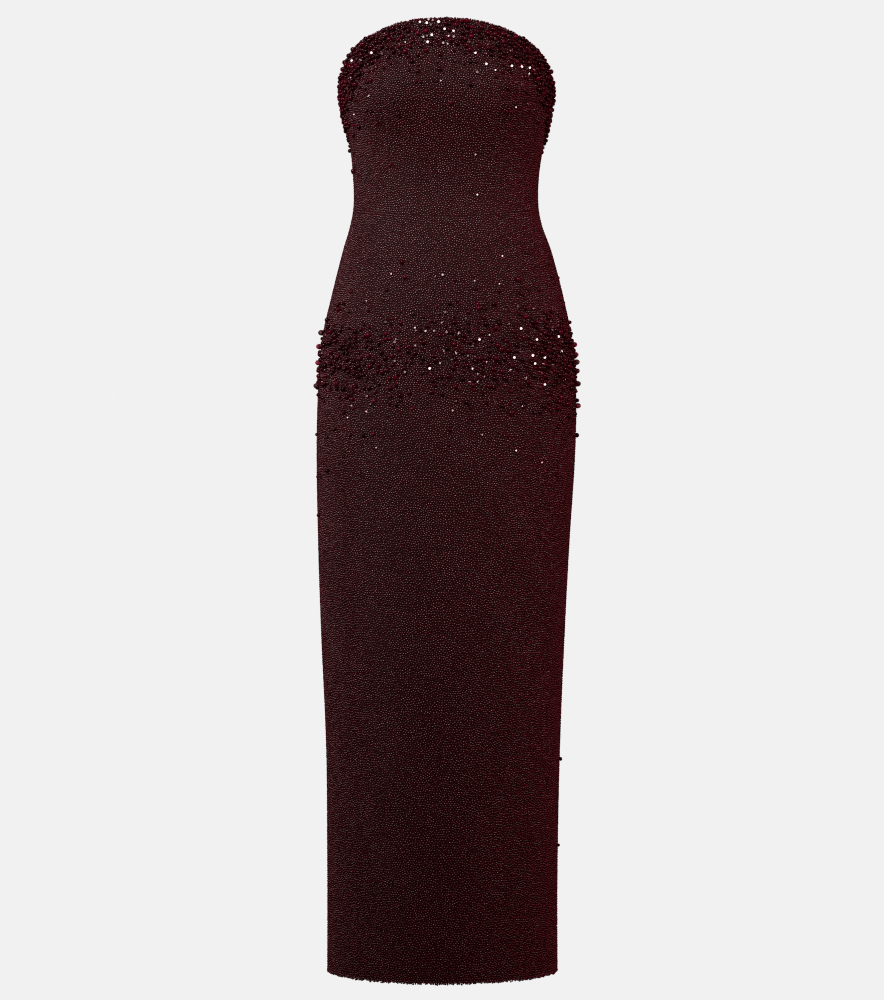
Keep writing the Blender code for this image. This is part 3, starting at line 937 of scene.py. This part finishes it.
def kept_off_seams(turn, height):
    """The same places, moved off the seam lines and the edges."""
    height = np.clip(height, EDGE_CLEAR, neckline(turn) - EDGE_CLEAR)
    height = moved_off(height, waistline(turn), SEAM_CLEAR)
    around, side = np.abs(turn), np.where(turn < 0, -1.0, 1.0)
    clear = SEAM_CLEAR / per_degree(turn, height)
    for line in seam_lines(turn, height):
        around = moved_off(around, line, clear)
    around = np.minimum(around, BACK - clear * (1 + back_gap(height) / SEAM_CLEAR))
    return side * around, height


def tree_of(points):
    """A tree in which near points are found."""
    tree = KDTree(len(points))
    for number, point in enumerate(points):
        tree.insert(point, number)
    tree.balance()
    return tree


def spread_apart(turn, height):
    """One pass of moving each bead away from those too near it."""
    points = surface(turn, height)
    tree = tree_of(points)
    found = (tree.find_n(point, SEED_NEIGHBOURS + 1)[1:] for point in points)
    near = np.array([[other[1] for other in others] for others in found])
    apart = points[:, None, :] - points[near]
    distance = np.maximum(np.linalg.norm(apart, axis=-1, keepdims=True), 1e-6)
    push = np.sum(apart / distance * np.maximum(SEED_APART - distance, 0.0) * SEED_PUSH, axis=1)
    round_it, up = slopes(turn, height)
    turn = turn + np.sum(push * round_it, axis=-1) / np.sum(round_it**2, axis=-1)
    height = height + np.sum(push * up, axis=-1) / np.sum(up**2, axis=-1)
    return wrapped(turn), height


def under_gems(points):
    """True for the seed beads that a large bead sits on."""
    tree = tree_of(points)
    covered = np.zeros(len(points), bool)
    for place, size in zip(surface(gem_turn, gem_height), gem_size):
        for found in tree.find_range(place, size * GEM_COVERS):
            covered[found[1]] = True
    return covered


seed_turn, seed_height = kept_off_seams(*shaken_rows())
for _ in range(SEED_SPREADS):
    seed_turn, seed_height = kept_off_seams(*spread_apart(seed_turn, seed_height))
bare = ~under_gems(surface(seed_turn, seed_height))
seed_turn, seed_height = seed_turn[bare], seed_height[bare]
seed_panel = panel_of(seed_turn, seed_height)
SEED = seed_shape()
EDGE_BEAD = ball_shape()


def make_small_beads(name, shape, centres, frames, sizes, flat, tone):
    """Small beads of one shape as one mesh, each with its own tone and polish."""
    points, triangles, normals, bake = scatter(shape, centres, frames, sizes, flat)
    each = len(shape.points)
    polish = dice.uniform(0, 1, len(tone))
    facts = {"tone": np.repeat(tone, each), "polish": np.repeat(polish, each)}
    made = new_mesh(name, points, triangles, (seed_glass,), normals, bake, facts)
    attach(made, "gown")


def make_seeds(name, chosen):
    """The low domes of one panel, or of a half of it."""
    turn, height = seed_turn[chosen], seed_height[chosen]
    count = len(turn)
    size = np.clip(dice.normal(SEED_ROUND, SEED_ROUND_SPREAD, count), *SEED_ROUND_LIMITS)
    tall = SEED_TALL * dice.uniform(*SEED_TALL_SHARES, count)
    frames = frames_at(turn, height, SEED_TILT)
    flat = dice.uniform(*SEED_FLAT, count)
    patch = np.sin(turn * 0.11 + 3 * np.sin(height * 19)) * np.sin(height * 31 + turn * 0.05)
    tone = np.clip(dice.beta(*SEED_TONE_BETA, count) + SEED_PATCHES * patch, 0, 1)
    centres, sizes = under(turn, height, CLOTH_DEPTH), np.stack((size, size, tall), axis=-1)
    make_small_beads(name, SEED, centres, frames, sizes, flat, tone)


for number, panel in enumerate(PANELS):
    chosen = seed_panel == number
    if panel.name == "skirt_front":
        half = float(np.median(seed_height[chosen]))
        make_seeds("seed_beads_skirt_front_upper", chosen & (seed_height >= half))
        make_seeds("seed_beads_skirt_front_lower", chosen & (seed_height < half))
    else:
        make_seeds("seed_beads_" + panel.name, chosen)


# Beads along the neckline and the hem

EDGE_TURNS = 1441
EDGE_PITCH = 0.00255
EDGE_SHAKE = 0.0003
EDGE_ROUND = 0.00150
EDGE_ROUND_SHARES = (0.85, 1.15)
EDGE_DEPTH = 0.00125
EDGE_TILT = 0.3
EDGE_TONES = (0.35, 1.0)
EDGE_STRAY_MOST = 0.0013
EDGE_ROWS = (("neckline_beads", neckline, 0.0002, 0.0004), ("hem_beads", flat_zero, -0.0003, 0.0006))
HALVES = (("_front", 0.0, SIDE), ("_back", SIDE, BACK))


def edge_turns(edge, pitch):
    """Turns of evenly spaced places along an edge, from centre back right round."""
    turn = np.linspace(-BACK, BACK, EDGE_TURNS)
    away = (BACK - np.abs(turn)) * per_degree(turn, edge(turn))
    turn = turn[away > back_gap(edge(turn)) + EDGE_ROUND]
    reach = reach_along(turn, edge(turn))
    return np.interp(np.linspace(0, reach[-1], round(reach[-1] / pitch)), reach, turn)


def make_edge_beads(name, edge, proud, stray, nearest, furthest):
    """One half of a row of round beads, each a little off the edge."""
    turn = edge_turns(edge, EDGE_PITCH)
    turn = turn[(np.abs(turn) >= nearest) & (np.abs(turn) < furthest)]
    count = len(turn)
    turn = turn + dice.normal(0, EDGE_SHAKE, count) / per_degree(turn, edge(turn))
    height = edge(turn) + np.clip(dice.normal(proud, stray, count), -EDGE_STRAY_MOST, EDGE_STRAY_MOST)
    size = EDGE_ROUND * dice.uniform(*EDGE_ROUND_SHARES, count)
    frames = frames_at(turn, height, EDGE_TILT)
    tone = dice.uniform(*EDGE_TONES, count)
    centres, sizes = under(turn, height, EDGE_DEPTH), np.stack((size, size, size), axis=-1)
    make_small_beads(name, EDGE_BEAD, centres, frames, sizes, 1.0, tone)


for row, edge, proud, stray in EDGE_ROWS:
    for half, nearest, furthest in HALVES:
        make_edge_beads(row + half, edge, proud, stray, nearest, furthest)


# Zip: its teeth on the inner face of the tape, and finishes for the tape, the slider and the pull

TOOTH_FIRST = 0.008
TOOTH_PITCH = 0.0016
TOOTH_STAGGER = 0.0007
TOOTH_REACH = 0.0022
TOOTH_WIDE = 0.00055
TOOTH_TALL = 0.00055
ZIP_TOP_CLEAR = 0.013
TAPE_FACE = WALL + SEAM + TAPE_THICK


def block_shape(bevel):
    """A block from -1 to 1 along X and Y and 0 to 1 up, its top edges bevelled."""
    foot = np.array([(-1, -1, 0), (1, -1, 0), (1, 1, 0), (-1, 1, 0)], float)
    waist = foot + (0, 0, 1 - bevel)
    top = foot * (1 - bevel, 1 - bevel, 0) + (0, 0, 1)
    points = np.vstack((foot, waist, top))
    triangles = [(8, 9, 10), (8, 10, 11), (2, 1, 0), (3, 2, 0)]
    for level in (0, 4):
        for n in range(4):
            after = (n + 1) % 4
            corner, over = level + n, level + 4 + n
            triangles += [(corner, level + after, over), (level + after, level + 4 + after, over)]
    reach = np.repeat((0.46, 0.34, 0.2), 4)
    tile = unit(points[:, :2]) * reach[:, None] + 0.5
    return Shape(points, np.array(triangles), None, tile)


def inward_blocks(turn, height, depth, spin, size, bevel):
    """Blocks that stand into the gown, each spun from lying round it."""
    round_it, up, out = axes(turn, height)
    first = np.cos(spin)[:, None] * -round_it + np.sin(spin)[:, None] * up
    frames = np.stack((first, np.cross(-out, first), -out), axis=1)
    return scatter(block_shape(bevel), under(turn, height, depth), frames, np.tile(size, (len(turn), 1)))


def make_teeth():
    height = np.arange(ZIP_LOW + TOOTH_FIRST, neckline(BACK) - ZIP_TOP_CLEAR, TOOTH_PITCH)
    side = np.where(np.arange(len(height)) % 2, 1.0, -1.0)
    turn = BACK - side * TOOTH_STAGGER / per_degree(BACK, height)
    size = (TOOTH_REACH, TOOTH_WIDE, TOOTH_TALL)
    points, triangles, _, bake = inward_blocks(turn, height, TAPE_FACE, 0 * turn, size, bevel=0.4)
    made = new_mesh("zip_teeth", points, triangles, (lacquer,), bake=bake)
    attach(made, "gown")


def lacquer_material():
    """Dark lacquer over metal, a little worn and uneven."""
    made, tree, shader = new_material("zip lacquer", Metallic=0.85, Coat_Weight=0.4, Coat_Roughness=0.1)
    wear = noise(tree, 900.0, 4.0, 0.6)
    stops = ((0.35, (0.030, 0.006, 0.009)), (0.72, (0.085, 0.022, 0.028)))
    rough = spread(tree, wear, 0.22, 0.42)
    finish_with(tree, shader, ramp(tree, wear, stops), rough, wear, 0.00003)
    return made


def tape_material():
    """The zip's tape: a close herringbone of thread, over the object's own coordinates."""
    made, tree, shader = new_material("zip tape weave", Specular_IOR_Level=0.3)
    where = node(tree, "ShaderNodeTexCoord")
    waves = []
    for lean in (0.7, -0.7):
        turned = node(tree, "ShaderNodeMapping", _Rotation=(0.0, lean, 0.0))
        wave = node(tree, "ShaderNodeTexWave", bands_direction="X", _Scale=520.0, _Distortion=0.4)
        tree.links.new(where.outputs["Object"], turned.inputs["Vector"])
        tree.links.new(turned.outputs["Vector"], wave.inputs["Vector"])
        waves.append(wave.outputs["Fac"])
    woven = mixed(tree, 1.0, waves[0], waves[1], "LIGHTEN")
    stops = ((0.2, (0.008, 0.0025, 0.0035)), (0.9, (0.026, 0.009, 0.012)))
    rough = spread(tree, woven, 0.9, 0.65)
    finish_with(tree, shader, ramp(tree, woven, stops), rough, woven, 0.00006)
    return made


lacquer = lacquer_material()
tape_weave = tape_material()
for name, finish in (("zip_tape", tape_weave), ("zip_slider", lacquer), ("zip_pull", lacquer)):
    for held in frame["nodes"][name].material_slots:
        held.material = finish
make_teeth()


# Stitches inside, which hold the neckline, the hem and the zip's tape

STITCH_LONG = 0.0024
STITCH_WIDE = 0.00022
STITCH_TALL = 0.00026
STITCH_PITCH = 0.0046
STITCH_SPIN = 0.06
STITCH_ROWS = ((neckline, -0.008), (flat_zero, 0.018))
TAPE_STITCH_IN = 0.0015
TAPE_STITCH_CLEAR = 0.004


def make_stitches():
    places = []
    for edge, off in STITCH_ROWS:
        turn = edge_turns(edge, STITCH_PITCH)
        height = edge(turn) + off
        clear = (BACK - np.abs(turn)) * per_degree(turn, height) > TAPE_HALF_WIDE + STITCH_LONG
        places.append((turn[clear], height[clear], WALL, 0.0))
    height = np.arange(ZIP_LOW + TAPE_STITCH_CLEAR, neckline(BACK) - TAPE_STITCH_CLEAR, STITCH_PITCH)
    for side in (1, -1):
        turn = side * (BACK - (TAPE_HALF_WIDE - TAPE_STITCH_IN) / per_degree(BACK, height))
        places.append((turn, height, TAPE_FACE, math.pi / 2))
    size, parts = (STITCH_LONG / 2, STITCH_WIDE, STITCH_TALL), []
    for turn, height, depth, spin in places:
        spin = spin + dice.normal(0, STITCH_SPIN, len(turn))
        parts.append(inward_blocks(turn, height, depth, spin, size, bevel=0.5))
    points, triangles, _, bake = joined(parts)
    made = new_mesh("stitches", points, triangles, (thread,), bake=bake)
    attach(made, "gown")


def thread_material():
    """Twisted sewing thread, a little lighter than the cloth."""
    made, tree, shader = new_material("sewing thread", Specular_IOR_Level=0.4)
    twist = noise(tree, 1800.0)
    stops = ((0.3, (0.035, 0.008, 0.011)), (0.7, (0.075, 0.018, 0.024)))
    rough = spread(tree, twist, 0.7, 0.5)
    finish_with(tree, shader, ramp(tree, twist, stops), rough, twist, 0.00005)
    return made


thread = thread_material()
make_stitches()


# Stage

PALE = 0.879
PALE_STRAY = 0.002
ROOM_LIGHT = (0.110, 0.006, 0.012)
FLOOR_RADIUS = 60.0
FLOOR_UNDER_HEM = 0.12


def make_stage():
    world = bpy.data.worlds.new("pale room")
    scene.world = world
    world.use_nodes = True
    tree = world.node_tree
    seen, light = tree.nodes["Background"], node(tree, "ShaderNodeBackground")
    seen.inputs["Color"].default_value = (PALE, PALE, PALE, 1.0)
    light.inputs["Color"].default_value = (*ROOM_LIGHT, 1.0)
    mix, path = node(tree, "ShaderNodeMixShader"), node(tree, "ShaderNodeLightPath")
    tree.links.new(path.outputs["Is Camera Ray"], mix.inputs[0])
    tree.links.new(light.outputs[0], mix.inputs[1])
    tree.links.new(seen.outputs[0], mix.inputs[2])
    tree.links.new(mix.outputs[0], tree.nodes["World Output"].inputs["Surface"])

    made, tree, shader = new_material(
        "pale floor", Base_Color=(0, 0, 0, 1.0), Specular_IOR_Level=0.0, Emission_Color=(1.0, 1.0, 1.0, 1.0)
    )
    pale = spread(tree, noise(tree, 3.0), PALE - PALE_STRAY, PALE + PALE_STRAY)
    tree.links.new(pale, shader.inputs["Emission Strength"])
    bpy.ops.mesh.primitive_circle_add(
        vertices=96, radius=FLOOR_RADIUS, fill_type="NGON", location=(0, 0, -HOLD_HEIGHT - FLOOR_UNDER_HEM)
    )
    floor = bpy.context.object
    floor.name = "floor"
    floor.data.materials.append(made)
    for rays in ("diffuse", "glossy", "transmission", "shadow"):
        setattr(floor, "visible_" + rays, False)


def add_light(name, place, target, size, power, colour, spread_angle=180.0):
    """A soft box that shines from a place at a target, and isn't seen itself."""
    data = bpy.data.lights.new(name, "AREA")
    data.spread = math.radians(spread_angle)
    data.shape = "RECTANGLE"
    data.size, data.size_y = size
    data.energy = power
    data.color = colour
    made = new_object(name, data)
    made.location = place
    away = np.array(place, float) - np.array(target, float)
    lean = math.atan2(math.hypot(away[0], away[1]), away[2])
    made.rotation_euler = (lean, 0.0, math.atan2(away[0], -away[1]))
    made.visible_camera = False
    return made


def make_lights():
    bust, middle = (0.0, 0.0, -0.1), (0.0, 0.0, -0.5)
    white, warm = (1.0, 0.96, 0.97), (1.0, 0.24, 0.30)
    add_light("key", KEY_AT, bust, (0.9, 0.9), 4.2, white, KEY_SPREAD)
    add_light("fill", (1.5, -2.6, 0.8), bust, (0.8, 1.2), 4.4, white)
    add_light("side_right", (2.4, -0.25, 0.1), middle, (1.2, 2.0), 17.0, warm)
    add_light("side_left", (-2.4, 0.3, 0.1), middle, (1.2, 2.0), 13.0, (1.0, 0.62, 0.67))
    back = add_light("back", (0.0, 2.1, 1.5), bust, (1.4, 0.9), 80.0, white)
    flagged = bpy.data.collections.new("lit from behind")
    for piece in scene.objects:
        front_beads = "beads" in piece.name and "front" in piece.name
        if piece.type == "MESH" and not front_beads:
            flagged.objects.link(piece)
    back.light_linking.receiver_collection = flagged


def make_camera():
    data = bpy.data.cameras.new("camera")
    data.sensor_fit = "VERTICAL"
    data.sensor_height = 36.0
    data.lens = CAMERA_FOCAL_PIXELS * data.sensor_height / PICTURE_HIGH
    made = new_object("camera", data)
    made.location = CAMERA_AT
    made.rotation_euler = (math.pi / 2, 0, 0)
    scene.camera = made


make_stage()
make_lights()
make_camera()
scene.view_settings.view_transform = "Standard"
scene.cycles.use_denoising = False
scene.cycles.filter_width = 1.1
